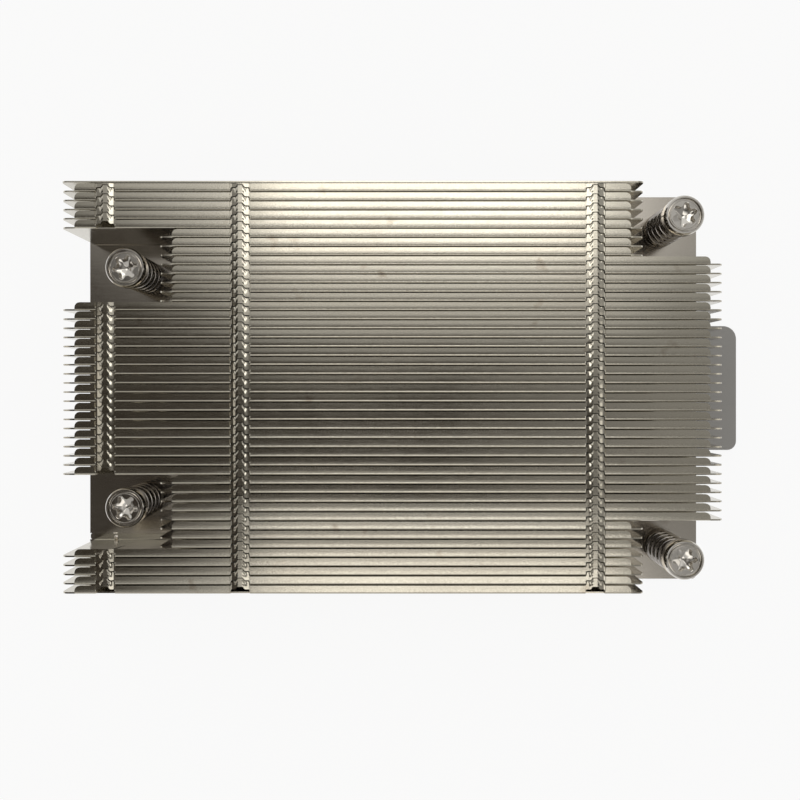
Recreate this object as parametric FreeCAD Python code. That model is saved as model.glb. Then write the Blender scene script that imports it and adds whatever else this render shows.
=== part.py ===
"""Passive heatsink for a one-unit-high rack server, in millimetres, +Z up.

Folded sheet fins stand side by side on a flat base plate and are zipped together along
their top folds. Four captive screws stand on springs in notches cut out of the fin stack.
The origin is under the middle of the base plate, on the plane of the contact pad.
+X runs along the fins and +Y across them.
"""
import FreeCAD, Part
import math
import os

Vector = FreeCAD.Vector

# Base plate and the raised contact pad under it
plate_length = 135.0
plate_width = 85.0
plate_thickness = 3.0
plate_corner_bevel = 1.0
pad_length = 78.0
pad_width = 60.0
pad_height = 2.6
pad_corner_bevel = 3.0

# Fill tube of the plate, pinched off in a groove that is open at the left edge
tube_groove_y = -33.0
tube_groove_width = 1.7
tube_groove_depth = 1.2
tube_groove_length = 6.4
tube_width = 1.2
tube_height = 0.9
tube_stub_length = 2.4

# Fin stack
fin_count = 46
fin_side_margin = 1.175
fin_height = 20.5
sheet_thickness = 0.3
fin_end_margin = 1.15
fin_end_bevel = 1.3
flange_inset = 2.7
flange_corner_bevel = 0.7
flange_gap = 0.05

# Locks: a tapered tongue on each free edge drops into an opening in the next fold
lock_left_end_inset = 10.0
lock_middle_end_inset = 37.0
lock_right_end_inset = 26.9
lock_opening_width = 4.2
lock_opening_depth = 1.1
lock_taper = 0.75
lock_clearance = 0.1

# Captive screws, in a trapezoid that is narrower on the left; the left ones stand midway
# across their notches, and the others are placed from the plate's edges
screw_left_end_inset = 12.9
screw_right_end_inset = 7.9
screw_right_side_inset = 7.3
shank_radius = 2.0
shank_clearance = 0.3
head_radius = 4.05
head_height = 3.0
head_level = 17.2
recess_radius = 2.3
recess_waist_radius = 1.6
recess_depth = 1.9
thread_radius = 1.75
tip_clearance = 0.3

# Six-sided retaining clips, pushed over the threaded end of each screw and up to the plate
clip_width = 7.0
clip_thickness = 0.6
clip_grip_clearance = 0.05
seat_gap = 0.05

# Springs between the plate and the screw heads
spring_outer_radius = 3.75
spring_wire_radius = 0.5
spring_open_turns = 5.0
spring_closed_turns = 0.5
runs_per_turn = 6
wire_sides = 4

# Notches in the fin stack round the screws, counted in fins from the stack's two sides
notch_left_reach = 7.75
notch_left_side_fin_count = 6
notch_left_fin_count = 8
notch_right_reach = 9.15
notch_right_fin_count = 9

# Pull tab of thin plastic sheet under the right edge
tab_width = 28.0
tab_overhang = 10.0
tab_thickness = 0.4
tab_pad_gap = 4.0
tab_corner_bevel = 2.0

# Levels worked out from the sizes above
plate_bottom = pad_height
plate_top = plate_bottom + plate_thickness
fin_top = plate_top + fin_height
head_top = plate_top + head_level
head_seat = head_top - head_height
stack_width = plate_width - 2 * fin_side_margin
fin_pitch = (stack_width - sheet_thickness) / (fin_count - 1)
first_web_y = stack_width / 2 - sheet_thickness
fin_half_length = plate_length / 2 - fin_end_margin
clip_top = plate_bottom - seat_gap
clip_bottom = clip_top - clip_thickness

notch_left_end = notch_left_side_fin_count + notch_left_fin_count
notch_left_high_y = first_web_y - (notch_left_side_fin_count - 1) * fin_pitch
notch_left_low_y = first_web_y - (notch_left_end - 1) * fin_pitch - flange_gap
screw_left_x = -plate_length / 2 + screw_left_end_inset
screw_left_y = (notch_left_high_y + notch_left_low_y) / 2
screw_right_x = plate_length / 2 - screw_right_end_inset
screw_right_y = plate_width / 2 - screw_right_side_inset

SCREWS = {
    "rear_left": (screw_left_x, screw_left_y),
    "front_left": (screw_left_x, -screw_left_y),
    "rear_right": (screw_right_x, screw_right_y),
    "front_right": (screw_right_x, -screw_right_y),
}
LOCKS = (
    -plate_length / 2 + lock_left_end_inset,
    -plate_length / 2 + lock_middle_end_inset,
    plate_length / 2 - lock_right_end_inset,
)


def box(x_low, x_high, y_low, y_high, z_low, z_high):
    """A block between two corners."""
    return Part.makeBox(x_high - x_low, y_high - y_low, z_high - z_low, Vector(x_low, y_low, z_low))


def disc(radius, z_low, z_high, centre=(0, 0)):
    """An upright cylinder."""
    return Part.makeCylinder(radius, z_high - z_low, Vector(centre[0], centre[1], z_low))


def prism(outline, z_low, z_high):
    """A flat outline of (x, y) points raised from one level to another."""
    corners = [Vector(x, y, z_low) for x, y in outline]
    face = Part.Face(Part.makePolygon(corners + corners[:1]))
    return face.extrude(Vector(0, 0, z_high - z_low))


def bevelled_block(length, width, z_low, z_high, bevel):
    """A block centred on the origin with its four upright edges bevelled."""
    x, y = length / 2, width / 2
    return prism([
        (x - bevel, -y), (x, -y + bevel), (x, y - bevel), (x - bevel, y),
        (-x + bevel, y), (-x, y - bevel), (-x, -y + bevel), (-x + bevel, -y),
    ], z_low, z_high)


def make_base_plate():
    """Plate, contact pad, screw holes, and the pinched fill tube in its groove."""
    plate = bevelled_block(plate_length, plate_width, plate_bottom, plate_top, plate_corner_bevel)
    pad = bevelled_block(pad_length, pad_width, 0, plate_bottom, pad_corner_bevel)
    cuts = [disc(shank_radius + shank_clearance, plate_bottom, plate_top, centre)
            for centre in SCREWS.values()]
    left = -plate_length / 2
    groove_end = left + tube_groove_length
    groove_floor = plate_top - tube_groove_depth
    cuts.append(box(left, groove_end, tube_groove_y - tube_groove_width / 2,
                    tube_groove_y + tube_groove_width / 2, groove_floor, plate_top))
    tube = box(groove_end - tube_stub_length, groove_end, tube_groove_y - tube_width / 2,
               tube_groove_y + tube_width / 2, groove_floor, groove_floor + tube_height)
    return plate.fuse(pad).cut(cuts).fuse(tube).removeSplitter()


def web_y(index):
    """The outer face of a fin's web; the fins are counted from the rear."""
    return first_web_y - index * fin_pitch


def fin_ends(index):
    """Where a fin's web begins and ends along X, shortened where a screw needs its room."""
    # The rear has one fin more, the flat one, so the front is counted from past its last fin
    from_side = min(index, fin_count - index)
    x_low, x_high = -fin_half_length, fin_half_length
    if notch_left_side_fin_count <= from_side < notch_left_end:
        x_low = screw_left_x + notch_left_reach
    if from_side < notch_right_fin_count:
        x_high = screw_right_x - notch_right_reach
    return x_low, x_high


def lock_fits(index, lock_x):
    """Whether the flange of a fin runs past a lock."""
    x_low, x_high = fin_ends(index)
    margin = flange_inset + flange_corner_bevel + lock_opening_width / 2
    return x_low + margin < lock_x < x_high - margin


def top_flange(y_web, x_low, x_high):
    """A fin's top flange, with the two corners of its free edge bevelled."""
    free_y = y_web + fin_pitch - flange_gap
    outline = [
        (x_low, y_web),
        (x_high, y_web),
        (x_high, free_y - flange_corner_bevel),
        (x_high - flange_corner_bevel, free_y),
        (x_low + flange_corner_bevel, free_y),
        (x_low, free_y - flange_corner_bevel),
    ]
    return prism(outline, fin_top - sheet_thickness, fin_top)


def bottom_flange(y_web, x_low, x_high):
    """A fin's bottom flange, which is soldered to the plate."""
    return box(x_low, x_high, y_web, y_web + fin_pitch - flange_gap,
               plate_top, plate_top + sheet_thickness)


def web(y_web, x_low, x_high):
    """A fin's upright wall, with the upper corners of its two ends bevelled."""
    corners = [Vector(x, y_web, z) for x, z in (
        (x_low, plate_top),
        (x_high, plate_top),
        (x_high, fin_top - fin_end_bevel),
        (x_high - fin_end_bevel, fin_top),
        (x_low + fin_end_bevel, fin_top),
        (x_low, fin_top - fin_end_bevel),
    )]
    return Part.Face(Part.makePolygon(corners + corners[:1])).extrude(Vector(0, sheet_thickness, 0))


def tapered_lock(lock_x, root_y, tip_y, width, z_low, z_high):
    """The outline shared by a lock's opening and its tongue, narrower at the tip."""
    half = width / 2
    outline = [
        (lock_x - half, root_y),
        (lock_x + half, root_y),
        (lock_x + half - lock_taper, tip_y),
        (lock_x - half + lock_taper, tip_y),
    ]
    return prism(outline, z_low, z_high)


def lock_opening(y_web, lock_x):
    """The tapered opening cut through a fold, wide at the web."""
    return tapered_lock(lock_x, y_web, y_web + lock_opening_depth, lock_opening_width,
                        fin_top - sheet_thickness, fin_top)


def lock_tongue(y_web, lock_x):
    """The tongue on a fin's free edge, which lies in the opening of the fin behind it."""
    next_web_y = y_web + fin_pitch
    return tapered_lock(lock_x, next_web_y - flange_gap, next_web_y + lock_opening_depth - lock_clearance,
                        lock_opening_width - 2 * lock_clearance, fin_top - sheet_thickness, fin_top)


def make_fin(index):
    """One fin: a web with a flange at top and bottom, lock openings in its fold, and tongues."""
    y_web = web_y(index)
    x_low, x_high = fin_ends(index)
    body = web(y_web, x_low, x_high)
    if index == 0:
        # The rearmost fin closes the stack and is left flat
        return body
    openings = [lock_opening(y_web, lock_x) for lock_x in LOCKS if lock_fits(index, lock_x)]
    folds = [bottom_flange(y_web, x_low, x_high),
             top_flange(y_web, x_low + flange_inset, x_high - flange_inset)]
    # The first folded fin has nothing to hook over, and its free edge is left plain
    tongues = [lock_tongue(y_web, lock_x) for lock_x in LOCKS
               if index > 1 and lock_fits(index, lock_x) and lock_fits(index - 1, lock_x)]
    return body.fuse(folds + tongues).cut(openings).removeSplitter()


def six_lobe_recess(z_low, z_high):
    """The star-shaped driver socket, as a twelve-pointed outline."""
    outline = []
    for point in range(12):
        radius = recess_radius if point % 2 == 0 else recess_waist_radius
        angle = math.radians(30 * point)
        outline.append((radius * math.cos(angle), radius * math.sin(angle)))
    return prism(outline, z_low, z_high)


def make_screw(centre):
    """A captive shoulder screw: head with a driver socket, shank and thinner threaded end."""
    outline = [
        (0, tip_clearance),
        (thread_radius, tip_clearance),
        (thread_radius, clip_bottom),
        (shank_radius, clip_bottom),
        (shank_radius, head_seat),
        (head_radius, head_seat),
        (head_radius, head_top),
        (0, head_top),
    ]
    corners = [Vector(radius, 0, z) for radius, z in outline]
    half_section = Part.Face(Part.makePolygon(corners + corners[:1]))
    screw = half_section.revolve(Vector(0, 0, 0), Vector(0, 0, 1), 360)
    screw = screw.cut(six_lobe_recess(head_top - recess_depth, head_top + recess_depth))
    screw.translate(Vector(centre[0], centre[1], 0))
    return screw


def hexagon(width):
    """The corners of a regular hexagon of a width across its flats."""
    radius = width / 2 / math.cos(math.radians(30))
    return [(radius * math.cos(math.radians(60 * corner)), radius * math.sin(math.radians(60 * corner)))
            for corner in range(6)]


def make_clip(centre):
    """A push-on retaining clip, which holds the shank between the six flats of its bore."""
    bore_width = 2 * (shank_radius + clip_grip_clearance)
    clip = prism(hexagon(clip_width), clip_bottom, clip_top)
    clip = clip.cut(prism(hexagon(bore_width), clip_bottom, clip_top))
    clip.translate(Vector(centre[0], centre[1], 0))
    return clip


def spring_path():
    """Points down the middle of the wire: a closed turn, open turns, a closed turn."""
    coil_radius = spring_outer_radius - spring_wire_radius
    low = plate_top + seat_gap + spring_wire_radius
    high = head_seat - seat_gap - spring_wire_radius
    closed_rise = 2 * spring_wire_radius * spring_closed_turns
    open_rise = high - low - 2 * closed_rise
    turns = spring_open_turns + 2 * spring_closed_turns
    steps = round(turns * runs_per_turn)
    points = []
    for step in range(steps + 1):
        turn = turns * step / steps
        opened = min(max(turn - spring_closed_turns, 0), spring_open_turns)
        closed = turn - opened
        rise = closed_rise * closed / spring_closed_turns + open_rise * opened / spring_open_turns
        angle = 2 * math.pi * turn
        points.append(Vector(coil_radius * math.cos(angle), coil_radius * math.sin(angle), low + rise))
    return points


def make_spring(centre):
    """A coil spring of short mitred runs: the wire's section is carried from joint to joint."""
    path = spring_path()
    runs = [(end - start).normalize() for start, end in zip(path, path[1:])]
    outward = Vector(1, 0, 0)
    across = runs[0].cross(outward).normalize()
    outward = across.cross(runs[0]).normalize()
    ring = []
    for side in range(wire_sides):
        angle = 2 * math.pi * side / wire_sides
        ring.append(path[0] + (outward * math.cos(angle) + across * math.sin(angle)) * spring_wire_radius)
    rings = [ring]
    for joint in range(1, len(path)):
        run = runs[joint - 1]
        following = runs[joint] if joint < len(runs) else run
        mitre = (run + following).normalize()
        ring = [spot + run * ((path[joint] - spot).dot(mitre) / run.dot(mitre)) for spot in ring]
        rings.append(ring)
    faces = [Part.Face(Part.makePolygon(rings[0][::-1] + [rings[0][-1]])),
             Part.Face(Part.makePolygon(rings[-1] + [rings[-1][0]]))]
    for near, far in zip(rings, rings[1:]):
        for side in range(wire_sides):
            following = (side + 1) % wire_sides
            quad = [near[side], near[following], far[following], far[side], near[side]]
            faces.append(Part.Face(Part.makePolygon(quad)))
    shell = Part.makeShell(faces)
    shell.sewShape()
    spring = Part.makeSolid(shell)
    if spring.Volume < 0:
        spring.reverse()
    spring.translate(Vector(centre[0], centre[1], 0))
    return spring


def make_pull_tab():
    """The flat tab under the plate, standing out past the right edge with bevelled corners."""
    x_low = pad_length / 2 + tab_pad_gap
    x_high = plate_length / 2 + tab_overhang
    half = tab_width / 2
    outline = [(x_low, -half), (x_high - tab_corner_bevel, -half), (x_high, -half + tab_corner_bevel),
               (x_high, half - tab_corner_bevel), (x_high - tab_corner_bevel, half), (x_low, half)]
    return prism(outline, plate_bottom - tab_thickness, plate_bottom)


def make_parts():
    """Every piece by name."""
    parts = {"base_plate": make_base_plate(), "pull_tab": make_pull_tab()}
    for index in range(fin_count):
        parts[f"fin_{index + 1:02d}"] = make_fin(index)
    for place, centre in SCREWS.items():
        parts[f"screw_{place}"] = make_screw(centre)
        parts[f"spring_{place}"] = make_spring(centre)
        parts[f"retaining_clip_{place}"] = make_clip(centre)
    return parts


os.makedirs("parts", exist_ok=True)
for name, shape in make_parts().items():
    shape.exportStep(f"parts/{name}.step")
    print(name, "valid" if shape.isValid() else "BROKEN", len(shape.Solids), round(shape.Volume, 3))
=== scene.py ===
# %% [markdown]
# # A passive server CPU heatsink
# The sink is a stack of folded sheet fins, zipped together along their tops, on a flat base
# plate with four sprung captive screws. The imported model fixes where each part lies, and this
# lesson dresses every part in its real shape and finish.

import bpy
import bmesh
from math import cos, pi, radians, sin, tan, tanh
from mathutils import Matrix, Vector
from mathutils.geometry import delaunay_2d_cdt


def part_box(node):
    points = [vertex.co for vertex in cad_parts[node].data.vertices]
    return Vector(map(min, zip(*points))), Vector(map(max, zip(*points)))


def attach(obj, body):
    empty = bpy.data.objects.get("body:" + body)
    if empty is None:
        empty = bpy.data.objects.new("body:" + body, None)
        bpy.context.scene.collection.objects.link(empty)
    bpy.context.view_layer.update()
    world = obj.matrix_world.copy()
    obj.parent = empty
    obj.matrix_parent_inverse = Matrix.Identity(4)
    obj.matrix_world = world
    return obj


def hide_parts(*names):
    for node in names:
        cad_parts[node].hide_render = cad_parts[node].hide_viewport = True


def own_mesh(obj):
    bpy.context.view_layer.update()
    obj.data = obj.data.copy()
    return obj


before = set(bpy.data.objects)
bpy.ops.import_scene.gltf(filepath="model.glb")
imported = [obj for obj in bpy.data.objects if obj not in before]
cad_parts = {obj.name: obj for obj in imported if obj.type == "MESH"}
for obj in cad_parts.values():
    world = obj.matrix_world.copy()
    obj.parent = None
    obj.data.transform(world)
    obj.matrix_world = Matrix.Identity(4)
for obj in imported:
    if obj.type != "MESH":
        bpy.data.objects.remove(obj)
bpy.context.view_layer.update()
MM = 0.001

# %% [markdown]
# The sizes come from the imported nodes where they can, so the dressed parts stay where the
# solids are. Only the forms that the solids leave out, such as folds and threads, get sizes
# of their own. Shapes are drawn in millimetres, and become metres with their mesh.

# %% Levels and places
plate_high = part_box("base_plate")[1] / MM
fin_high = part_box("fin_20")[1] / MM
plate_top = plate_high.z
fin_top = fin_high.z
screw_spots = {}
for place in ("rear_left", "front_left", "rear_right", "front_right"):
    low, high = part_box(f"screw_{place}")
    screw_spots[place] = ((low.x + high.x) / 2 / MM, (low.y + high.y) / 2 / MM)
print("plate top", round(plate_top, 2), "fin top", round(fin_top, 2))
print("screws", {place: (round(x, 2), round(y, 2)) for place, (x, y) in screw_spots.items()})

# %% [markdown]
# ## The finishes
# A finish is a network of shader nodes: colours blended by masks, a roughness and a height
# for the bump. A few helpers add nodes and link them, so that each finish below reads as a
# short recipe.

# %% Shader helpers
def add(tree, kind, inputs=None, **settings):
    """Adds a node, with values or links for its inputs."""
    node = tree.nodes.new(kind)
    for key, value in settings.items():
        setattr(node, key, value)
    for key, value in (inputs or {}).items():
        if isinstance(value, bpy.types.NodeSocket):
            tree.links.new(value, node.inputs[key])
        else:
            node.inputs[key].default_value = value
    return node


def out(tree, kind, inputs=None, **settings):
    """Adds a node and gives its first output."""
    return add(tree, kind, inputs, **settings).outputs[0]


def maths(tree, operation, *values):
    """The output of a Math node on its values."""
    return out(tree, "ShaderNodeMath", dict(enumerate(values)), operation=operation)


def times(tree, first, second):
    """One value multiplied by another."""
    return maths(tree, "MULTIPLY", first, second)


def plus(tree, first, second):
    """The sum of two values."""
    return maths(tree, "ADD", first, second)


def minus(tree, first, second):
    """The first value less the second."""
    return maths(tree, "SUBTRACT", first, second)


def spread(tree, value, low, high, to_low, to_high):
    """Maps a value from one range to another, kept inside it."""
    return out(tree, "ShaderNodeMapRange", {0: value, 1: low, 2: high, 3: to_low, 4: to_high})


def noise(tree, place, scale, detail, stretch=(1, 1, 1), offset=(0, 0, 0)):
    """Noise on a place, stretched along the axes; the scale is per metre."""
    moved = out(tree, "ShaderNodeMapping",
                {"Vector": place, "Scale": stretch, "Location": offset})
    return out(tree, "ShaderNodeTexNoise", {"Vector": moved, "Scale": scale, "Detail": detail})


def new_tree(name, kind, inputs, outputs):
    """A node tree with named sockets, what its inputs give, and what its outputs take."""
    tree = bpy.data.node_groups.new(name, kind)
    for label, socket_type, value in inputs:
        socket = tree.interface.new_socket(label, in_out="INPUT", socket_type=socket_type)
        if value is not None:
            socket.default_value = value
    for label, socket_type in outputs:
        tree.interface.new_socket(label, in_out="OUTPUT", socket_type=socket_type)
    given = tree.nodes.new("NodeGroupInput").outputs
    return tree, given, tree.nodes.new("NodeGroupOutput").inputs


FLOAT, VECTOR = "NodeSocketFloat", "NodeSocketVector"

# %% [markdown]
# Effects that several finishes share are node groups, built once. Each has named inputs, and
# puts out only values that change over the surface. The first is the grain that rolling
# leaves on sheet metal: fine streaks along the fins, with small pits.

# %% Rolled grain
tree, given, result = new_tree(
    "Rolled grain", "ShaderNodeTree",
    [("Place", VECTOR, None), ("Streak", FLOAT, 1.0), ("Pits", FLOAT, 1.0)],
    [("Height", FLOAT), ("Mask", FLOAT)])
streaks = noise(tree, given["Place"], 2600, 4.0, (0.15, 1, 1))
pits = noise(tree, given["Place"], 5200, 2.0, (0.6, 1, 1), (3, 1, 4))
pit_mask = spread(tree, pits, 0.60, 0.74, 0, 1)
streak_part = times(tree, streaks, given["Streak"])
pit_part = times(tree, pit_mask, given["Pits"])
grain_mask = plus(tree, streak_part, times(tree, pit_part, 0.5))
tree.links.new(minus(tree, streak_part, pit_part), result["Height"])
tree.links.new(grain_mask, result["Mask"])
rolled_grain = tree
print("group", tree.name, "nodes", len(tree.nodes))

# %% [markdown]
# The second group is handling: broad cloudy smears where the metal was touched or wiped,
# and a few small darker stains.

# %% Handling marks
tree, given, result = new_tree(
    "Handling marks", "ShaderNodeTree",
    [("Place", VECTOR, None), ("Smears", FLOAT, 1.0), ("Stains", FLOAT, 1.0)],
    [("Smear", FLOAT), ("Stain", FLOAT)])
clouds = noise(tree, given["Place"], 70, 5.0, (0.7, 1, 1), (0.2, 0.5, 0))
spots = noise(tree, given["Place"], 190, 3.0, (1, 1, 1), (0.31, 0.2, 0.1))
smear = spread(tree, clouds, 0.35, 0.7, 0, 1)
stain = spread(tree, spots, 0.66, 0.78, 0, 1)
tree.links.new(times(tree, smear, given["Smears"]), result["Smear"])
tree.links.new(times(tree, stain, given["Stains"]), result["Stain"])
handling_marks = tree
print("group", tree.name, "nodes", len(tree.nodes))

# %% [markdown]
# Each material then places the groups with its own amounts. The pattern lies on Object
# coordinates, which are metres on the piece itself, so it moves with the piece.

# %% Materials from the groups
def new_material(name, metallic):
    """A material, its node tree, and its Object coordinates."""
    material = bpy.data.materials.new(name)
    material.use_nodes = True
    tree = material.node_tree
    tree.nodes["Principled BSDF"].inputs["Metallic"].default_value = metallic
    return material, tree, tree.nodes.new("ShaderNodeTexCoord").outputs["Object"]


def group(tree, shared, **inputs):
    """Places a shared group in a material and gives its outputs."""
    return add(tree, "ShaderNodeGroup", inputs, node_tree=shared).outputs


def blend(tree, amount, first, second):
    """Mixes two colours, each a link or (red, green, blue)."""
    first, second = [(*colour, 1) if isinstance(colour, tuple) else colour
                     for colour in (first, second)]
    return add(tree, "ShaderNodeMix", {0: amount, 6: first, 7: second},
               data_type="RGBA").outputs[2]


def apply_finish(material, colour, roughness, height, microns):
    """Links a finish to its shader; the bump's height is in thousandths of a millimetre."""
    tree = material.node_tree
    shader = tree.nodes["Principled BSDF"].inputs
    bump = out(tree, "ShaderNodeBump",
               {"Height": height, "Distance": microns * MM * MM, "Strength": 1.0})
    tree.links.new(colour, shader["Base Color"])
    tree.links.new(roughness, shader["Roughness"])
    tree.links.new(bump, shader["Normal"])
    print("finish", material.name, "nodes", len(tree.nodes))

# %% [markdown]
# The fins are thin nickel-plated sheet with a warm satin look. Their gloss is broken by the
# rolled grain, and each fin catches the light a little differently, because no two are bent
# quite alike. That difference is a number stored on each fin, which the material reads. A
# fine dark speckle is stronger beside the fold: the distance from it is stored too.

# %% Fin sheet metal
fin_metal, tree, place = new_material("Plated fin sheet", 1.0)
darker_sheet, paler_sheet = (0.56, 0.525, 0.44), (0.63, 0.595, 0.505)
smear_colour, stain_colour = (0.48, 0.43, 0.35), (0.33, 0.25, 0.17)
grain_colour, speckle_colour = (0.36, 0.33, 0.28), (0.27, 0.245, 0.205)
grain = group(tree, rolled_grain, Place=place, Streak=1.0, Pits=0.5)
marks = group(tree, handling_marks, Place=place, Smears=1.0, Stains=1.0)
tone = add(tree, "ShaderNodeAttribute", attribute_name="fin_tone").outputs["Fac"]
from_fold = add(tree, "ShaderNodeAttribute", attribute_name="from_fold").outputs["Fac"]
near_fold = spread(tree, from_fold, 0.5 * MM, 1.1 * MM, 1.0, 0.0)
mottle = noise(tree, place, 5200, 3.0, (0.8, 1, 1), (1, 0, 2))
speckle = spread(tree, mottle, 0.34, 0.66, 0.0, 1.0)
speckled = times(tree, speckle, plus(tree, times(tree, near_fold, 0.24), 0.10))

plain = blend(tree, tone, darker_sheet, paler_sheet)
smeared = blend(tree, times(tree, marks["Smear"], 0.22), plain, smear_colour)
stained = blend(tree, times(tree, marks["Stain"], 0.5), smeared, stain_colour)
grained = blend(tree, times(tree, grain["Mask"], 0.12), stained, grain_colour)
rough = plus(tree, spread(tree, grain["Mask"], 0.2, 1.0, 0.08, 0.14), times(tree, tone, 0.02))
rough = plus(tree, rough, times(tree, marks["Smear"], 0.03))
rough = plus(tree, rough, times(tree, speckle, 0.03))
raised = times(tree, speckle, plus(tree, times(tree, near_fold, 0.8), 0.25))
apply_finish(fin_metal, blend(tree, speckled, grained, speckle_colour), rough,
             plus(tree, grain["Height"], raised), 1.5)

# %% [markdown]
# The base plate has the same plating over a thicker, flatter sheet, so it mirrors more
# evenly and looks darker between the fins.

# %% Base plate metal
plate_metal, tree, place = new_material("Plated base plate", 1.0)
clean_colour, smear_colour = (0.55, 0.51, 0.45), (0.45, 0.41, 0.35)
stain_colour = (0.27, 0.21, 0.15)
grain = group(tree, rolled_grain, Place=place, Streak=0.5, Pits=0.4)
marks = group(tree, handling_marks, Place=place, Smears=1.0, Stains=0.8)
plain = blend(tree, times(tree, marks["Smear"], 0.35), clean_colour, smear_colour)
stained = blend(tree, times(tree, marks["Stain"], 0.5), plain, stain_colour)
rough = spread(tree, grain["Mask"], 0.1, 0.8, 0.13, 0.22)
apply_finish(plate_metal, stained, rough, grain["Height"], 1.5)

# %% [markdown]
# The screws are bright nickel over turned steel. Turning leaves rings round the axis, which
# fine level streaks stand for, in the height and in the gloss.

# %% Screw metal
screw_metal, tree, place = new_material("Nickel plated screw", 1.0)
clean_colour, smear_colour = (0.66, 0.63, 0.58), (0.5, 0.47, 0.43)
stain_colour = (0.2, 0.17, 0.15)
marks = group(tree, handling_marks, Place=place, Smears=0.8, Stains=1.0)
turning_rings = noise(tree, place, 3000, 3.0, (0.15, 0.15, 1))
plain = blend(tree, marks["Smear"], clean_colour, smear_colour)
stained = blend(tree, times(tree, marks["Stain"], 0.6), plain, stain_colour)
rough = spread(tree, turning_rings, 0.3, 0.7, 0.07, 0.16)
apply_finish(screw_metal, stained, rough, turning_rings, 3)

# %% [markdown]
# Spring wire is drawn through a die. It is darker than the plating, and its skin is finely
# and evenly rough.

# %% Spring steel
spring_steel, tree, place = new_material("Dark spring steel", 1.0)
clean_colour, smear_colour = (0.42, 0.395, 0.37), (0.28, 0.255, 0.235)
marks = group(tree, handling_marks, Place=place, Smears=1.0, Stains=0.4)
drawn = noise(tree, place, 4000, 3.0)
wire_colour = blend(tree, marks["Smear"], clean_colour, smear_colour)
rough = spread(tree, drawn, 0.3, 0.7, 0.09, 0.16)
apply_finish(spring_steel, wire_colour, rough, drawn, 4)

# %% [markdown]
# The clips are stamped from plain strip. They sit out of sight under the plate, and their
# rolled grain is deeper and duller than that of the fins.

# %% Clip steel
clip_steel, tree, place = new_material("Stamped clip steel", 1.0)
clean_colour, grain_colour = (0.47, 0.46, 0.45), (0.36, 0.35, 0.34)
grain = group(tree, rolled_grain, Place=place, Streak=0.7, Pits=0.6)
strip_colour = blend(tree, grain["Mask"], clean_colour, grain_colour)
rough = spread(tree, grain["Mask"], 0.1, 0.9, 0.25, 0.45)
apply_finish(clip_steel, strip_colour, rough, grain["Height"], 8)

# %% [markdown]
# The pull tab is the one piece that isn't metal: a thin grey plastic, matt, with the fine
# even texture of its mould and a few faint smears.

# %% Tab plastic
tab_plastic, tree, place = new_material("Grey tab plastic", 0.0)
clean_colour, smear_colour = (0.36, 0.35, 0.335), (0.32, 0.31, 0.295)
marks = group(tree, handling_marks, Place=place, Smears=1.0, Stains=0.3)
mould_texture = noise(tree, place, 3500, 2.0)
tab_colour = blend(tree, times(tree, marks["Smear"], 0.5), clean_colour, smear_colour)
rough = spread(tree, mould_texture, 0.3, 0.7, 0.42, 0.58)
apply_finish(tab_plastic, tab_colour, rough, mould_texture, 10)

# %% [markdown]
# ## The fins
# Each fin is one strip of sheet with a narrow flange folded over at the top and another at
# the bottom. It is drawn flat first, as the press tool cuts it, with x along the fin and s
# along the strip, counted from where the top fold begins. The flat sheet is then bent: every
# point is carried round the two folds, and the sheet is solidified to its thickness.
#
# An outline is a list of corners, each with the radius it is rounded to, as a punch would
# leave it.

# %% Rounded outlines
def rounded(corners, steps=4):
    """A closed outline of (x, y, radius) corners with each corner rounded off."""
    outline = []
    for index, (x, y, radius) in enumerate(corners):
        here = Vector((x, y))
        if radius == 0:
            outline.append(here)
            continue
        before = (Vector(corners[index - 1][:2]) - here).normalized()
        after = (Vector(corners[(index + 1) % len(corners)][:2]) - here).normalized()
        half = before.angle(after) / 2
        centre = here + (before + after).normalized() * radius / sin(half)
        start = here + before * radius / tan(half) - centre
        sweep = start.angle_signed(here + after * radius / tan(half) - centre)
        for step in range(steps + 1):
            outline.append(centre + Matrix.Rotation(-sweep * step / steps, 2) @ start)
    return outline

# %% [markdown]
# A constrained triangulation fills an outline round its holes, and makes edges of the
# crease lines, along which the sheet is bent later.

# %% Flat sheets
def inside(point, outline):
    """Whether a point lies inside a closed outline."""
    found = False
    for a, b in zip(outline, outline[1:] + outline[:1]):
        if (a.y > point.y) != (b.y > point.y):
            if point.x < a.x + (b.x - a.x) * (point.y - a.y) / (b.y - a.y):
                found = not found
    return found


def flat_sheet(outline, holes=(), creases=()):
    """Triangles that fill an outline round its holes, with edges along the creases."""
    points, edges = [], []
    for loop in [outline, *holes]:
        first = len(points)
        points += loop
        edges += [(first + k, first + (k + 1) % len(loop)) for k in range(len(loop))]
    for start, end in creases:
        edges.append((len(points), len(points) + 1))
        points += [Vector(start), Vector(end)]
    made = delaunay_2d_cdt(points, edges, [], 0, 1e-5)
    spots, faces = made[0], []
    for face in made[2]:
        middle = (spots[face[0]] + spots[face[1]] + spots[face[2]]) / 3
        if inside(middle, outline) and not any(inside(middle, hole) for hole in holes):
            faces.append(list(face))
    return spots, faces

# %% [markdown]
# Every piece starts as a mesh at the origin, is thickened or bevelled by modifiers, and is
# then settled: what the modifiers make is kept as a plain mesh and they are taken off.

# %% Meshes and modifiers
def new_object(name, points, faces):
    """A mesh object at the origin from points in millimetres, without the unused points."""
    mesh = bpy.data.meshes.new(name)
    mesh.from_pydata([Vector(point) * MM for point in points], [], faces)
    made = bpy.data.objects.new(name, mesh)
    bpy.context.collection.objects.link(made)
    shell = bmesh.new()
    shell.from_mesh(mesh)
    bmesh.ops.delete(shell, geom=[v for v in shell.verts if not v.link_faces], context="VERTS")
    shell.to_mesh(mesh)
    shell.free()
    return made


def modify(piece, kind, **settings):
    """Adds a modifier with its settings."""
    made = piece.modifiers.new(kind.title(), kind)
    for key, value in settings.items():
        setattr(made, key, value)


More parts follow.
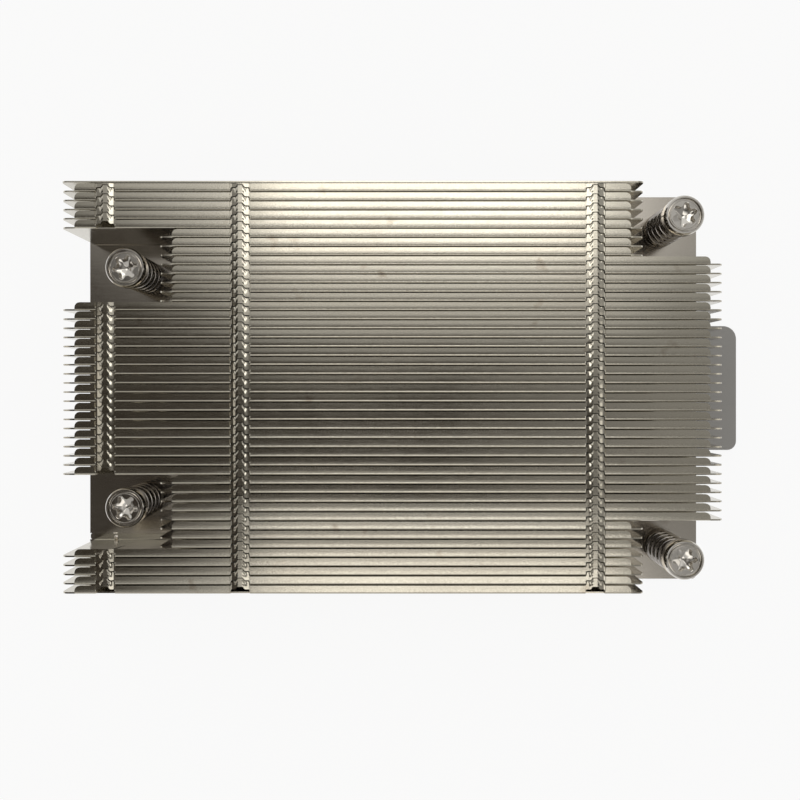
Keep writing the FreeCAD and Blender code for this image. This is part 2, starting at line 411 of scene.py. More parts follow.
def settle(piece, sharp=40):
    """Keeps the modifiers' result, smooth up to an angle; faces square to an axis stay flat."""
    bpy.context.view_layer.update()
    seen = piece.evaluated_get(bpy.context.evaluated_depsgraph_get())
    mesh = bpy.data.meshes.new_from_object(seen)
    piece.modifiers.clear()
    piece.data = mesh
    mesh.set_sharp_from_angle(angle=radians(sharp))
    for face in mesh.polygons:
        face.use_smooth = max(abs(part) for part in face.normal) < 0.9999
    return piece


def triangles(piece):
    """How many triangles a piece has."""
    return sum(len(face.vertices) - 2 for face in piece.data.polygons)

# %% [markdown]
# The strip's length along s is the web, two folds and two flanges. A real bend is never a
# clean arc: the top flange still droops a little where it leaves the fold. A little room is
# kept above the fins, because some of their flanges lean up later.

# %% Fin sizes
sheet = 0.3
lean_room = 0.04
fold_radius = 0.38
fold_length = fold_radius * pi / 2
fold_softness, soft_reach = 0.028, 1.05
fin_height = fin_top - plate_top - lean_room
web_length = fin_height - 2 * fold_radius
flange_width = 1.67
flange_inset = 2.7
strip_low = -web_length - fold_length - (flange_width - fold_radius)


def along(v):
    """The strip position of a point on the top flange, from its distance to the web's face."""
    return v - fold_radius + fold_length


print("fin height", round(fin_height, 2), "flange to", round(along(flange_width), 2))

# %% [markdown]
# The fins are zipped together at three rows of locks. At each, an opening straddles the
# fold: wide where it crosses it, with a narrower stem behind. A bottle-shaped tongue on the
# free edge of the next fin to the front reaches back over it and drops in.

# %% Lock openings and tongues
LOCK_XS = (-57.5, -30.5, 40.6)


def opening(lock_x):
    """The outline of a lock's opening."""
    return rounded([(lock_x + u, s, radius) for u, s, radius in (
        (-2.0, -0.45, 0.1), (2.0, -0.45, 0.1), (1.98, 0.1, 0.1),
        (1.86, along(0.92), 0.22), (1.0, along(0.92), 0.12), (0.70, along(1.2), 0.12),
        (0.68, along(1.46), 0.14), (-0.68, along(1.46), 0.14), (-0.70, along(1.2), 0.12),
        (-1.0, along(0.92), 0.12), (-1.86, along(0.92), 0.22), (-1.98, 0.1, 0.1))], 3)


def nicks(lock_x):
    """The two small slanted nicks at the foot of a tongue's stem."""
    nick = ((0.4, 1.98), (0.6, 2.06), (0.84, 1.7), (0.64, 1.6))
    return [[Vector((lock_x + side * u, along(v))) for u, v in nick] for side in (-1, 1)]


def tongue(lock_x):
    """The corners of a bottle-shaped tongue on the free edge, from right to left."""
    half = ((1.93, flange_width, 0.06), (1.73, 1.95, 0.1), (1.68, 2.52, 0.2),
            (0.98, 2.52, 0.12), (0.56, 2.84, 0.12), (0.52, 3.12, 0.14))
    return ([(lock_x + u, along(v), radius) for u, v, radius in half]
            + [(lock_x - u, along(v), radius) for u, v, radius in reversed(half)])


print("locks at x", LOCK_XS)

# %% [markdown]
# Zipping presses the sheet into a low ridge at each lock, so that the tongues catch under
# the sides of the openings. Across the lock the ridge is level at the top, falls in a curve
# and levels out at its foot. The tongue's stem stays raised between two dips. The form is a
# height for each point, so that one function shapes every lock.

# %% Pressed form of a lock
ridge_top, ridge_steep, ridge_foot = 0.4, 1.3, 1.7
ridge_slope = 0.25
lock_half = 2.07
lock_start, lock_full = 0.6, 0.82
stem_half, stem_flare = 0.36, 0.4
stem_low, stem_high = 2.4, 2.9
dip = 0.1


def ramp(value, start, end):
    """How far a value has come from a start to an end, from 0 to 1."""
    return min(max((value - start) / (end - start), 0), 1)


def lock_height(u, v):
    """How far a lock is pressed below the flange, as a number under 0."""
    across = abs(u)
    side = min(max(across - ridge_top, 0), ridge_steep - ridge_top)
    foot = min(max(across - ridge_steep, 0), ridge_foot - ridge_steep)
    drop = ridge_slope * side * side / (2 * (ridge_steep - ridge_top))
    drop += ridge_slope * (foot - foot * foot / (2 * (ridge_foot - ridge_steep)))
    stem = stem_half + stem_flare * ramp(v, stem_high, stem_low)
    beside_stem = ramp(across, stem, stem + 0.14) * ramp(across, ridge_steep, 1.08)
    drop += dip * beside_stem * ramp(v, 2.15, 2.35)
    return -drop * ramp(v, lock_start, lock_full) * ramp(across, lock_half, 2.02)


print("ridge foot", round(lock_height(1.8, 1.5), 3))

# %% [markdown]
# Bending keeps x and carries s round the folds: first the flange with its locks, then the
# top fold, the web, the bottom fold and the bottom flange.

# %% Bend the strip
def bend(x, s, locks):
    """Carries a point of the flat strip round the folds of the fin."""
    nearest = min(LOCK_XS, key=lambda lock_x: abs(x - lock_x))
    u = x - nearest
    if s > fold_length:
        v = s - fold_length + fold_radius
        pressed = lock_height(u, v) if nearest in locks and abs(u) < lock_half else 0
        droop = max(soft_reach - v, 0) ** 2 * fold_softness
        return x, v, fin_height + pressed - droop
    if s > 0:
        angle = s / fold_radius
        droop = (soft_reach - fold_radius) ** 2 * fold_softness * s / fold_length
        level = fin_height - fold_radius * (1 - sin(angle)) - droop
        return x, fold_radius * (1 - cos(angle)), level
    if s > -web_length:
        return x, 0, fin_height - fold_radius + s
    below = -web_length - s
    if below < fold_length:
        angle = below / fold_radius
        return x, fold_radius * (1 - cos(angle)), fold_radius * (1 - sin(angle))
    return x, below - fold_length + fold_radius, 0

# %% [markdown]
# The bent sheet needs points where it curves, which the creases give: a few lines round each
# fold, and a small grid at each lock, with slanted lines along the sides of the stem.

# %% Creases
LOCK_LINES = (ridge_top, 0.6, 0.76, 0.9, 1.08, ridge_steep, 1.5, ridge_foot, 2.02, lock_half)
LOCK_ROWS = (lock_start, lock_full, 1.2, 1.45, 2.15, 2.35, 2.62, stem_high)
tongue_end = 3.12


def fold_creases(x_low, x_high):
    """Lines round both folds, and where the top flange droops."""
    levels = [fold_length * step / 5 for step in range(6)] + [-0.05, fold_length + 0.05]
    levels += [-web_length - level for level in levels]
    levels += [along(v) for v in (lock_start, lock_full, soft_reach)]
    return [((x_low - 1, s), (x_high + 1, s)) for s in levels]


def lock_creases(lock_x):
    """The grid of one lock, and the slanted lines of its stem."""
    creases = [((lock_x - lock_half, along(v)), (lock_x + lock_half, along(v))) for v in LOCK_ROWS]
    creases += [((lock_x + side * u, along(lock_start)), (lock_x + side * u, along(tongue_end)))
                for u in LOCK_LINES for side in (-1, 1)]
    for side in (-1, 1):
        for wider in (0.0, 0.16):
            neck_x = lock_x + side * (stem_half + wider)
            flared_x = lock_x + side * (0.78 + wider)
            creases.append(((neck_x, along(stem_high)), (neck_x, along(tongue_end))))
            creases.append(((neck_x, along(stem_high)), (flared_x, along(stem_low))))
    return creases


print("creases of a lock", len(lock_creases(0.0)))

# %% [markdown]
# One function now makes any fin of the stack. The rearmost one is a flat wall with no
# flanges, so it is left unbent. Each point keeps its distance from the fold, for the speckle.

# %% One fin
def folded_corners(x_low, x_high, tongues):
    """The flat outline of a folded fin, with its top flange short of the web's two ends."""
    left, right = x_low + flange_inset, x_high - flange_inset
    top = along(flange_width)
    corners = [(x_low, strip_low, 0.4), (x_high, strip_low, 0.4), (x_high, 0.0, 1.2)]
    corners += [(right, 0.0, 0.0), (right, top, 1.05)]
    for lock_x in sorted(tongues, reverse=True):
        corners += tongue(lock_x)
    return corners + [(left, top, 1.05), (left, 0.0, 0.0), (x_low, 0.0, 1.2)]


def make_fin(name, x_low, x_high, openings, tongues, folded):
    """One solid fin, with its web's outer face at y = 0 and its foot at z = 0."""
    foot = -web_length - fold_radius
    corners = [(x_low, foot, 0), (x_high, foot, 0),
               (x_high, fold_radius, 1.2), (x_low, fold_radius, 1.2)]
    creases = []
    if folded:
        corners = folded_corners(x_low, x_high, tongues)
        creases = fold_creases(x_low, x_high)
    for lock_x in openings:
        creases += lock_creases(lock_x)
    holes = [opening(lock_x) for lock_x in openings]
    for lock_x in tongues:
        holes += nicks(lock_x)
    spots, faces = flat_sheet(rounded(corners), holes, creases)
    points = [(spot.x, 0, fin_height - fold_radius + spot.y) for spot in spots]
    if folded:
        points = [bend(spot.x, spot.y, openings) for spot in spots]
    piece = new_object(name, points, faces)
    from_fold = piece.data.attributes.new("from_fold", "FLOAT", "POINT")
    for corner, reading in zip(piece.data.vertices, from_fold.data):
        reading.value = corner.co.y
    modify(piece, "SOLIDIFY", thickness=sheet * MM, offset=-1, use_even_offset=True)
    return settle(piece, 25)

# %% [markdown]
# The fins differ only in length and locks, so each kind is made once and set out in a row by
# Geometry Nodes. A tree is built in code like a shader, with named inputs for its sizes. Its
# result is kept as a plain mesh.

# %% Geometry Nodes helpers
INTEGER, OBJECT, MATERIAL = "NodeSocketInt", "NodeSocketObject", "NodeSocketMaterial"
SHAPE_OUT = [("Geometry", "NodeSocketGeometry")]


def vector(tree, **parts):
    """A vector from its X, Y and Z."""
    return out(tree, "ShaderNodeCombineXYZ", parts)


def split(tree, joined):
    """The X, Y and Z of a vector."""
    return add(tree, "ShaderNodeSeparateXYZ", {0: joined}).outputs


def mark(tree, instances, label, value):
    """Stores a number on each instance."""
    return out(tree, "GeometryNodeStoreNamedAttribute",
               {"Geometry": instances, "Name": label, "Value": value},
               domain="INSTANCE", data_type="FLOAT")


def real(tree, shape):
    """Makes instances into real geometry."""
    return out(tree, "GeometryNodeRealizeInstances", {"Geometry": shape})


def hand_out(tree, shape, given, result):
    """Ends a tree: the shape gets its material and goes out."""
    painted = out(tree, "GeometryNodeSetMaterial",
                  {"Geometry": shape, "Material": given["Material"]})
    tree.links.new(painted, result["Geometry"])


def grow(name, tree, **values):
    """Runs a Geometry Nodes tree on a new object and keeps its result as a plain mesh."""
    made = bpy.data.objects.new(name, bpy.data.meshes.new(name))
    bpy.context.collection.objects.link(made)
    modifier = made.modifiers.new(tree.name, "NODES")
    modifier.node_group = tree
    for item in tree.interface.items_tree:
        if item.in_out == "INPUT" and item.name in values:
            modifier[item.identifier] = values[item.name]
    return settle(made)

# %% [markdown]
# The row is a line of points at the fin pitch with a fin on each. Every fin gets a tone of
# its own, and its top flange leans a very little up or down, because no two folds spring
# back alike: the further a point is from the web, the more it rises or falls.

# %% Fin row tree
pitch = 1.83
tree, given, result = new_tree("Fin row", "GeometryNodeTree", [
    ("Fin", OBJECT, None), ("Count", INTEGER, 5), ("Pitch", FLOAT, pitch * MM),
    ("First", FLOAT, 0.0), ("Foot", FLOAT, plate_top * MM), ("Lean", FLOAT, 0.008),
    ("Seed", INTEGER, 3), ("Material", MATERIAL, None)], SHAPE_OUT)
start = vector(tree, Y=given["First"], Z=given["Foot"])
step = vector(tree, Y=times(tree, given["Pitch"], -1.0))
line = out(tree, "GeometryNodeMeshLine",
           {"Count": given["Count"], "Start Location": start, "Offset": step})
shape = add(tree, "GeometryNodeObjectInfo", {"Object": given["Fin"]}).outputs["Geometry"]
fins = out(tree, "GeometryNodeInstanceOnPoints", {"Points": line, "Instance": shape})
index = out(tree, "GeometryNodeInputIndex")
place = split(tree, out(tree, "GeometryNodeInputPosition"))
for label, low, high in (("fin_tone", 0.0, 1.0), ("fin_lean", -1.0, 1.0)):
    chance = add(tree, "FunctionNodeRandomValue",
                 {2: low, 3: high, "ID": index, "Seed": given["Seed"]}).outputs[1]
    fins = mark(tree, fins, label, chance)
fins = mark(tree, fins, "web_y", place["Y"])
solid = real(tree, fins)
lean = out(tree, "GeometryNodeInputNamedAttribute", {"Name": "fin_lean"})
root = out(tree, "GeometryNodeInputNamedAttribute", {"Name": "web_y"})
on_top = maths(tree, "GREATER_THAN", place["Z"], (fin_top - 2.0) * MM)
rise = times(tree, times(tree, minus(tree, place["Y"], root), lean),
             times(tree, on_top, given["Lean"]))
moved = out(tree, "GeometryNodeSetPosition",
            {"Geometry": solid, "Offset": vector(tree, Z=rise)})
hand_out(tree, moved, given, result)
fin_row = tree
print("tree", tree.name, "nodes", len(tree.nodes))

# %% [markdown]
# The stack is eleven runs of equal fins from rear to front. Those that run into a screw's
# notch are shorter, and a fin has no tongue where the one behind it is short. Each run has a
# name, its first and last fin, two ends, openings, tongues, and whether it is folded.

# %% Grow the fin stack
first_web_y = 41.025
half_length = fin_high.x
left_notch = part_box("fin_11")[0].x / MM
right_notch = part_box("fin_02")[1].x / MM
ALL = LOCK_XS
TWO = LOCK_XS[1:]
RUNS = (
    ("rear_end_fin", 1, 1, -half_length, right_notch, (), (), False),
    ("first_rear_fin", 2, 2, -half_length, right_notch, ALL, (), True),
    ("rear_fins", 3, 6, -half_length, right_notch, ALL, ALL, True),
    ("rear_short_fins", 7, 9, left_notch, right_notch, TWO, TWO, True),
    ("rear_notch_fins", 10, 14, left_notch, half_length, TWO, TWO, True),
    ("first_middle_fin", 15, 15, -half_length, half_length, ALL, TWO, True),
    ("middle_fins", 16, 33, -half_length, half_length, ALL, ALL, True),
    ("front_notch_fins", 34, 38, left_notch, half_length, TWO, TWO, True),
    ("front_short_fins", 39, 41, left_notch, right_notch, TWO, TWO, True),
    ("first_front_fin", 42, 42, -half_length, right_notch, ALL, TWO, True),
    ("front_fins", 43, 46, -half_length, right_notch, ALL, ALL, True),
)
for name, first, last, x_low, x_high, openings, tongues, folded in RUNS:
    pattern = make_fin("pattern_" + name, x_low, x_high, openings, tongues, folded)
    row = grow(name, fin_row, Fin=pattern, Count=last - first + 1,
               First=(first_web_y - (first - 1) * pitch) * MM, Seed=first, Material=fin_metal)
    bpy.data.objects.remove(pattern)
    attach(row, "sink")
    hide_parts(*[f"fin_{number:02d}" for number in range(first, last + 1)])
    print(name, "triangles", triangles(row))

# %% [markdown]
# ## The base plate
# The plate is a flat vapour chamber with a thicker pad under its middle, which touches the
# processor. Its parts are slabs: an outline filled flat, given a thickness and softened at
# the edges. Booleans then join them or cut one with another.

# %% Slabs
def circle(centre, radius, steps=48):
    """A closed round outline."""
    angles = [2 * pi * step / steps for step in range(steps)]
    return [Vector((centre[0] + radius * cos(angle), centre[1] + radius * sin(angle)))
            for angle in angles]


def block(left, right, front, rear, left_radius, right_radius, steps=6):
    """The outline of a block with rounded corners."""
    return rounded([(left, front, left_radius), (right, front, right_radius),
                    (right, rear, right_radius), (left, rear, left_radius)], steps)


def slab(name, outline, low, high, edge, holes=(), segments=2):
    """A flat solid between two levels, with softened edges."""
    points, faces = flat_sheet(outline, holes)
    piece = new_object(name, [(p.x, p.y, high) for p in points], faces)
    modify(piece, "SOLIDIFY", thickness=(high - low) * MM, offset=-1)
    if edge:
        modify(piece, "BEVEL", width=edge * MM, segments=segments, angle_limit=radians(40))
    return settle(piece)


def cut(piece, tool, operation):
    """Joins two solids or takes one away from the other, and removes the tool."""
    modify(piece, "BOOLEAN", operation=operation, object=tool, solver="EXACT")
    settle(piece)
    bpy.data.objects.remove(tool)

# %% [markdown]
# The plate is cut with rounded corners and four screw holes, and the pad is joined to it. At
# the front left a groove for the fill tube runs in from the edge. Past its end come a round
# pit and a seam that stands a little proud, both left by the sealing of the chamber.

# %% Base plate
pad_height = 2.6
groove_front, groove_rear, groove_end, groove_depth = -33.7, -32.3, -61.2, 1.2
pit_spot, pit_radius, pit_depth = (-59.4, -33.6), 0.5, 0.5
seam_front, seam_left, seam_right, seam_height = -33.6, -58.4, -40, 0.12
past_edge, above_plate = -69, plate_top + 1.0

screw_holes = [circle(spot, 2.3) for spot in screw_spots.values()]
half_x, half_y = plate_high.x, plate_high.y
plate = slab("base_plate_dressed", block(-half_x, half_x, -half_y, half_y, 1.0, 1.0),
             pad_height, plate_top, 0.18, screw_holes)
pad = block(-39.0, 39.0, -30.0, 30.0, 3.0, 3.0)
cut(plate, slab("contact_pad", pad, 0.0, pad_height + 0.5, 0.25), "UNION")
groove = block(past_edge, groove_end, groove_front, groove_rear, 0, 0.7)
cut(plate, slab("groove", groove, plate_top - groove_depth, above_plate, 0.0), "DIFFERENCE")
pit = circle(pit_spot, pit_radius, 32)
cut(plate, slab("pit", pit, plate_top - pit_depth, above_plate, 0.0), "DIFFERENCE")
seam = block(seam_left, seam_right, seam_front, groove_rear, 0.3, 0, 3)
cut(plate, slab("seam", seam, plate_top - 0.5, plate_top + seam_height, 0.08), "UNION")
modify(plate, "BEVEL", width=0.16 * MM, segments=3, angle_limit=radians(60))
settle(plate)
plate.data.materials.clear()
plate.data.materials.append(plate_metal)
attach(plate, "sink")
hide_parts("base_plate")
print("base plate triangles", triangles(plate))

# %% [markdown]
# The chamber was filled through the small tube in the groove, which was then pinched flat
# and sealed with a blob of weld. The blob is a lumpy drop: a ball whose points are pushed in
# and out by a sum of waves, then flattened onto the plate. A smaller fleck lies beside it.

# %% Fill tube and weld
def lump(name, centre, size, waves):
    """A lumpy drop from its centre, its half sizes and how strong its waves are."""
    shaped = bmesh.new()
    bmesh.ops.create_icosphere(shaped, subdivisions=4, radius=1.0)
    shaped.verts.index_update()
    points = []
    for corner in shaped.verts:
        x, y, z = corner.co
        wave = sin(5 * x + 1) * cos(4 * y) + sin(7 * z + 3 * x)
        spot = corner.co * (1 + waves * wave)
        points.append([centre[k] + spot[k] * size[k] for k in range(3)])
    faces = [[corner.index for corner in face.verts] for face in shaped.faces]
    shaped.free()
    return settle(new_object(name, points, faces), 60)


tube_left = -67.4
tube_outline = block(tube_left, groove_end, groove_front, groove_rear, 0.5, 0.1, 4)
tube = slab("fill_tube", tube_outline, plate_top - groove_depth, plate_top - 0.08, 0.3, (), 4)
blob = lump("weld_blob", (-61.7, -33.25, plate_top - 0.1), (1.05, 1.15, 0.5), 0.09)
fleck = lump("weld_fleck", (-60.5, -33.0, plate_top - 0.02), (0.45, 0.5, 0.16), 0.12)
for part in (tube, blob, fleck):
    part.data.materials.append(plate_metal)
    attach(part, "sink")
    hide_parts("base_plate")
    print(part.name, "triangles", triangles(part))

# %% [markdown]
# ## The screws
# A captive screw has a pan head with a raised rim, a groove inside it, a six-lobed socket, a
# long smooth shank, and a short thread. All of it is turned, so it is lofted from rings; a
# ring's radius may change with the angle, which gives the socket's lobes and the thread.

# %% Turned shapes
def turned(name, rings, first_tip, last_tip, steps=96):
    """Lofts rings of (radius or radius at an angle, height) and closes them at two tips."""
    points, faces = [], []
    for radius, height in rings:
        for step in range(steps):
            angle = 2 * pi * step / steps
            reach = radius(angle) if callable(radius) else radius
            points.append((reach * cos(angle), reach * sin(angle), height))
    around = [(step, (step + 1) % steps) for step in range(steps)]
    last = (len(rings) - 1) * steps
    for first in range(0, last, steps):
        faces += [(first + a, first + a + steps, first + b + steps, first + b) for a, b in around]
    faces += [(len(points), a, b) for a, b in around]
    faces += [(len(points) + 1, last + b, last + a) for a, b in around]
    return new_object(name, [*points, (0, 0, first_tip), (0, 0, last_tip)], faces)


def lobes(size):
    """The six-lobed socket's radius at an angle, for its largest radius."""
    steep = 1.6
    return lambda angle: size * (0.845 + 0.155 * tanh(steep * cos(6 * angle)) / tanh(steep))


def hexed(size):
    """A six-sided ring's radius at an angle, for its radius at the corners."""
    return lambda angle: size * cos(pi / 6) / cos(angle % (pi / 3) - pi / 6)


thread_pitch = 0.5


def thread(radius, depth, z):
    """The thread's radius at an angle, on the ring at a height, as its ridge winds round."""
    def at(angle):
        turn = (z / thread_pitch - angle / (2 * pi)) % 1.0
        return radius - depth * (1 - abs(2 * turn - 1))
    return at

# %% [markdown]
# The rings run from the six-sided dimple in the socket up its wall, over the head, down the
# shank and along the thread, which fades out at both ends.

# %% One screw
screw_low, screw_high = [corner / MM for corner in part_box("screw_rear_left")]
clip_low, clip_high = [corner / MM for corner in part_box("retaining_clip_rear_left")]
top = screw_high.z
head_height = 3.0
head_seat = top - head_height
rings = [
    (hexed(0.75), top - 2.02), (hexed(1.5), top - 1.78), (lobes(2.42), top - 1.75),
    (lobes(2.48), top - 1.7), (lobes(2.5), top - 0.3), (lobes(2.56), top - 0.18),
    (lobes(2.64), top - 0.15), (2.86, top - 0.15), (2.9, top - 0.17), (2.93, top - 0.24),
    (2.97, top - 0.17), (3.01, top - 0.15), (3.14, top - 0.15), (3.19, top - 0.2),
    (3.21, top - 0.6), (3.4, top - 0.6), (3.43, top - 0.08), (3.5, top), (3.74, top),
    (3.84, top - 0.05), (4.02, top - 0.36), (4.05, top - 0.5),
    (4.05, head_seat + 0.12), (3.95, head_seat), (2.25, head_seat), (2.08, head_seat - 0.06),
    (2.0, head_seat - 0.25), (2.0, clip_low.z + 0.05), (1.95, clip_low.z)]

thread_low, thread_high = screw_low.z, clip_low.z
thread_radius, thread_depth = 1.75, 0.22
tip_chamfer, ring_gap, last_ring = 0.25, 0.02, 24
for count in range(last_ring + 1):
    z = thread_high - ring_gap - (thread_high - thread_low - ring_gap) * count / last_ring
    above_tip = z - thread_low
    fade = max(min(1, above_tip / 0.3, (thread_high - z) / 0.2), 0)
    radius = thread_radius - tip_chamfer * (1 - min(1, above_tip / tip_chamfer))
    rings.append((thread(radius, thread_depth * fade, z), z))
screw_pattern = settle(turned("screw_pattern", rings, top - 2.28, screw_low.z), 19)
print("screw triangles", triangles(screw_pattern))

# %% [markdown]
# The same turned screw goes to four places. Each turns on its own body, so a small tree puts
# one screw at a time at its place, turned to the angle it was last left at.

# %% Place one screw
tree, given, result = new_tree("Place one", "GeometryNodeTree", [
    ("Piece", OBJECT, None), ("Spot", VECTOR, None), ("Turn", FLOAT, 0.0),
    ("Material", MATERIAL, None)], SHAPE_OUT)
shape = add(tree, "GeometryNodeObjectInfo", {"Object": given["Piece"]}).outputs["Geometry"]
put = out(tree, "GeometryNodeTransform",
          {"Geometry": shape, "Translation": given["Spot"],
           "Rotation": vector(tree, Z=given["Turn"])})
hand_out(tree, real(tree, put), given, result)

TURNS = {"rear_left": 12.0, "front_left": -6.0, "rear_right": 20.0, "front_right": 3.0}
for place, (x, y) in screw_spots.items():
    screw = grow(f"turned_screw_{place}", tree, Piece=screw_pattern, Spot=(x * MM, y * MM, 0),
                 Turn=radians(TURNS[place]), Material=screw_metal)
    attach(screw, f"screw_{place}")
    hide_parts(f"screw_{place}")
    print(screw.name, "turned by", TURNS[place])
bpy.data.objects.remove(screw_pattern)

# %% [markdown]
# ## The springs
# Each spring is round wire wound about the shank, with its ends closed up. The path is a
# spiral whose height is worked out from how many turns have been wound: a closed turn rises
# by the wire's thickness, and the open turns share the room that is left. A round profile is
# then swept along the path.

# %% Spring tree
tree, given, result = new_tree("Coil spring", "GeometryNodeTree", [
    ("Spot", VECTOR, None), ("Low", FLOAT, 0.0), ("High", FLOAT, 0.01),
    ("Radius", FLOAT, 0.00325), ("Wire", FLOAT, 0.0005), ("Open turns", FLOAT, 4.4),
    ("Closed turns", FLOAT, 0.3), ("Material", MATERIAL, None)], SHAPE_OUT)
turns = plus(tree, given["Open turns"], times(tree, given["Closed turns"], 2.0))
spiral = out(tree, "GeometryNodeCurveSpiral",
             {"Resolution": 40, "Rotations": turns, "Start Radius": given["Radius"],
              "End Radius": given["Radius"], "Height": 0.001})
factor = tree.nodes.new("GeometryNodeSplineParameter").outputs["Factor"]
wound = times(tree, factor, turns)
past_closed = maths(tree, "MAXIMUM", minus(tree, wound, given["Closed turns"]), 0.0)
opened = maths(tree, "MINIMUM", past_closed, given["Open turns"])
closed = minus(tree, wound, opened)
closed_rise = times(tree, times(tree, closed, given["Wire"]), 2.0)
all_closed = times(tree, times(tree, given["Closed turns"], given["Wire"]), 4.0)
whole_rise = minus(tree, given["High"], given["Low"])
open_share = maths(tree, "DIVIDE", opened, given["Open turns"])
open_rise = times(tree, minus(tree, whole_rise, all_closed), open_share)
level = plus(tree, given["Low"], plus(tree, closed_rise, open_rise))
here = split(tree, out(tree, "GeometryNodeInputPosition"))
path = out(tree, "GeometryNodeSetPosition",
           {"Geometry": spiral,
            "Position": vector(tree, X=here["X"], Y=here["Y"], Z=level)})
round_wire = out(tree, "GeometryNodeCurvePrimitiveCircle",
                 {"Resolution": 16, "Radius": given["Wire"]})
swept = out(tree, "GeometryNodeCurveToMesh",
            {"Curve": path, "Profile Curve": round_wire, "Fill Caps": True})
put = out(tree, "GeometryNodeTransform",
          {"Geometry": swept, "Translation": given["Spot"]})
hand_out(tree, real(tree, put), given, result)
spring_tree = tree
print("tree", tree.name, "nodes", len(tree.nodes))

# %% [markdown]
# The wire's middle keeps a hair more than its radius from the plate and the head.

# %% Wind the springs
wire_room = 0.55
for place, (x, y) in screw_spots.items():
    spring = grow(f"wound_spring_{place}", spring_tree, Spot=(x * MM, y * MM, 0),
                  Low=(plate_top + wire_room) * MM, High=(head_seat - wire_room) * MM,
                  Material=spring_steel)
    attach(spring, "sink")
    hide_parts(f"spring_{place}")
    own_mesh(spring)
    print(spring.name, "triangles", triangles(spring))

# %% [markdown]
# ## The retaining clips and the pull tab
# A stamped clip under the plate keeps each screw from falling out. It is a six-sided plate
# with a six-sided hole, and sits round the end of the shank.

# %% Retaining clips
def hexagon(centre, width, radius):
    """A six-sided outline with rounded corners, from its width across the flats."""
    corners = circle(centre, width / 2 / cos(radians(30)), 6)
    return rounded([(*corner, radius) for corner in corners])


clip_width, clip_hole = 7.0, 4.1
for place, spot in screw_spots.items():
    clip = slab(f"stamped_clip_{place}", hexagon(spot, clip_width, 0.6), clip_low.z, clip_high.z,
                0.12, [hexagon(spot, clip_hole, 0.3)])
    clip.data.materials.append(clip_steel)
    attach(clip, f"clip_{place}")
    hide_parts(f"retaining_clip_{place}")
    print(clip.name, "triangles", triangles(clip))

# %% [markdown]
# A thin plastic tab stands out past the right edge, to pull at. It is a slab too, and its
# two outer corners are rounded unequally, as on the real one.

# %% Pull tab
tab_low, tab_high = [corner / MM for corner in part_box("pull_tab")]
hidden_radius, front_radius, rear_radius = 0.5, 2.0, 2.9
tab_outline = rounded([
    (tab_low.x, -tab_high.y, hidden_radius), (tab_high.x, -tab_high.y, front_radius),
    (tab_high.x, tab_high.y, rear_radius), (tab_low.x, tab_high.y, hidden_radius)], 8)
tab = slab("moulded_tab", tab_outline, tab_low.z, tab_high.z, 0.08)
tab.data.materials.append(tab_plastic)
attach(tab, "sink")
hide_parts("pull_tab")
print("tab triangles", triangles(tab))

# %% [markdown]
# ## Floor, light and camera
# The sink lies on a plain pale floor, which takes its shadow. To the camera and in the mirror
# of the metal, most of the floor's colour is a plain white glow instead, so that it looks
# white without more light on the sink.

# %% Floor
floor_half, floor_level = 900, -0.01
corners = [(x * floor_half, y * floor_half, floor_level)
           for x, y in ((-1, -1), (1, -1), (1, 1), (-1, 1))]
floor = new_object("floor", corners, [(0, 1, 2, 3)])
floor_paper = bpy.data.materials.new("Pale floor")
floor_paper.use_nodes = True
tree = floor_paper.node_tree
shader = tree.nodes["Principled BSDF"]
shader.inputs["Base Color"].default_value = (0.86, 0.86, 0.85, 1)
shader.inputs["Roughness"].default_value = 0.9
shader.inputs["Specular IOR Level"].default_value = 0.1
rays = tree.nodes.new("ShaderNodeLightPath").outputs
mirrored = plus(tree, rays["Is Glossy Ray"], rays["Is Transmission Ray"])
seen = maths(tree, "MINIMUM", plus(tree, rays["Is Camera Ray"], mirrored), 1.0)
shine = out(tree, "ShaderNodeEmission", {"Color": (1, 1, 1, 1), "Strength": 1.0})
mixed = out(tree, "ShaderNodeMixShader",
            {0: times(tree, seen, 0.9), 1: shader.outputs[0], 2: shine})
tree.links.new(mixed, tree.nodes["Material Output"].inputs["Surface"])
floor.data.materials.append(floor_paper)
print("floor", 2 * floor_half, "mm wide")

# %% [markdown]
# Polished metal only shows what is around it, so the room matters as much as the lamps. It
# is dark overhead and pale towards the horizon, with a pale band behind and another in front.
# The fins then go from bright at the rear and front to dark in the middle.

# %% World
world = bpy.data.worlds.new("Studio")
bpy.context.scene.world = world
world.use_nodes = True
tree = world.node_tree
dark_room, pale_room = (0.05, 0.043, 0.035), (0.95, 0.95, 0.94)
aim = split(tree, tree.nodes.new("ShaderNodeTexCoord").outputs["Generated"])
# Pale near the horizon, but less high up at the two sides
sideways = spread(tree, maths(tree, "ABSOLUTE", aim["X"]), 0.45, 0.75, 0.0, 0.36)
horizon = spread(tree, aim["Z"], 0.18, 0.32, 0.85, 0.0)
low_down = spread(tree, plus(tree, aim["Z"], sideways), 0.2, 0.7, 0.75, 0.0)
low_down = maths(tree, "MAXIMUM", low_down, horizon)
# The bands behind and in front start further out on the left, and are weaker at both sides
slant = spread(tree, aim["X"], -0.35, -0.15, 0.15, 0.0)
behind = spread(tree, minus(tree, aim["Y"], slant), 0.0, 0.14, 0.0, 0.97)
before = spread(tree, plus(tree, aim["Y"], slant), -0.10, -0.20, 0.0, 0.72)
left_shade = spread(tree, aim["X"], -0.28, -0.12, 0.75, 1.0)
right_shade = spread(tree, aim["X"], 0.25, 0.30, 1.0, 0.45)
bands = times(tree, maths(tree, "MAXIMUM", behind, before), left_shade)
bands = times(tree, bands, right_shade)
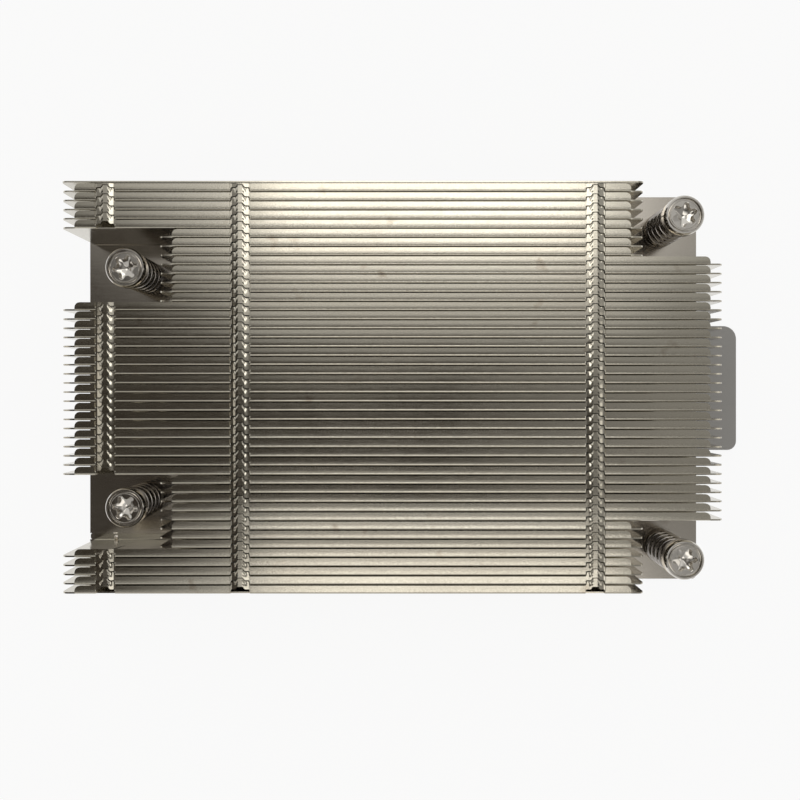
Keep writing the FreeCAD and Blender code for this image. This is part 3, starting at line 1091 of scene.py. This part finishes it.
# A fainter glow on the right
beside = spread(tree, aim["X"], 0.05, 0.30, 0.0, 0.30)
pale = maths(tree, "MAXIMUM", low_down, maths(tree, "MAXIMUM", bands, beside))
background = tree.nodes["Background"].inputs
tree.links.new(blend(tree, pale, dark_room, pale_room), background["Color"])
background["Strength"].default_value = 1.0
print("world", world.name, "nodes", len(tree.nodes))

# %% [markdown]
# Four large soft panels light the sink and shine in its metal: two overhead, towards the
# rear and the front, and two lower ones at the sides. Their places and sizes are in metres.

# %% Light panels
PANEL_COLOUR = (1.0, 0.97, 0.92)


def panel(name, place, target, size, power):
    """A soft rectangular light that faces a point."""
    light = bpy.data.lights.new(name, "AREA")
    light.shape = "RECTANGLE"
    light.size, light.size_y = size
    light.energy = power
    light.color = PANEL_COLOUR
    made = bpy.data.objects.new(name, light)
    made.location = place
    made.rotation_euler = (Vector(target) - Vector(place)).to_track_quat("-Z", "Y").to_euler()
    made.visible_camera = False
    bpy.context.collection.objects.link(made)
    print(name, "at", place, "with", power, "W")


panel("rear_panel", (0.035, 0.29, 0.9), (0.035, 0.29, 0), (0.39, 0.27), 0.49)
panel("front_panel", (0.05, -0.32, 0.9), (0.05, -0.32, 0), (0.42, 0.26), 0.34)
panel("left_panel", (-0.92, 0.0, 0.74), (0, 0, 0), (0.22, 0.9), 0.5)
panel("right_panel", (0.92, 0.0, 0.74), (0, 0, 0), (0.22, 0.9), 0.5)

# %% [markdown]
# The camera looks straight down from close above, so the plate, though it is larger, shows
# smaller than the tops of the fins. A shift of a few pixels sets the frame.

# %% Camera
picture_width = 800
lens = bpy.data.cameras.new("Camera")
lens.lens = 40.5
lens.sensor_width = 36.0
lens.shift_x = 1 / picture_width
lens.shift_y = -8 / picture_width
lens.clip_start, lens.clip_end = 0.01, 10.0
camera = bpy.data.objects.new("Camera", lens)
camera.location = (1.3 * MM, -0.9 * MM, 206.1 * MM)
bpy.context.collection.objects.link(camera)
bpy.context.scene.camera = camera
bpy.context.scene.view_settings.view_transform = "Standard"
print("camera height", round(camera.location.z / MM, 1), "mm")
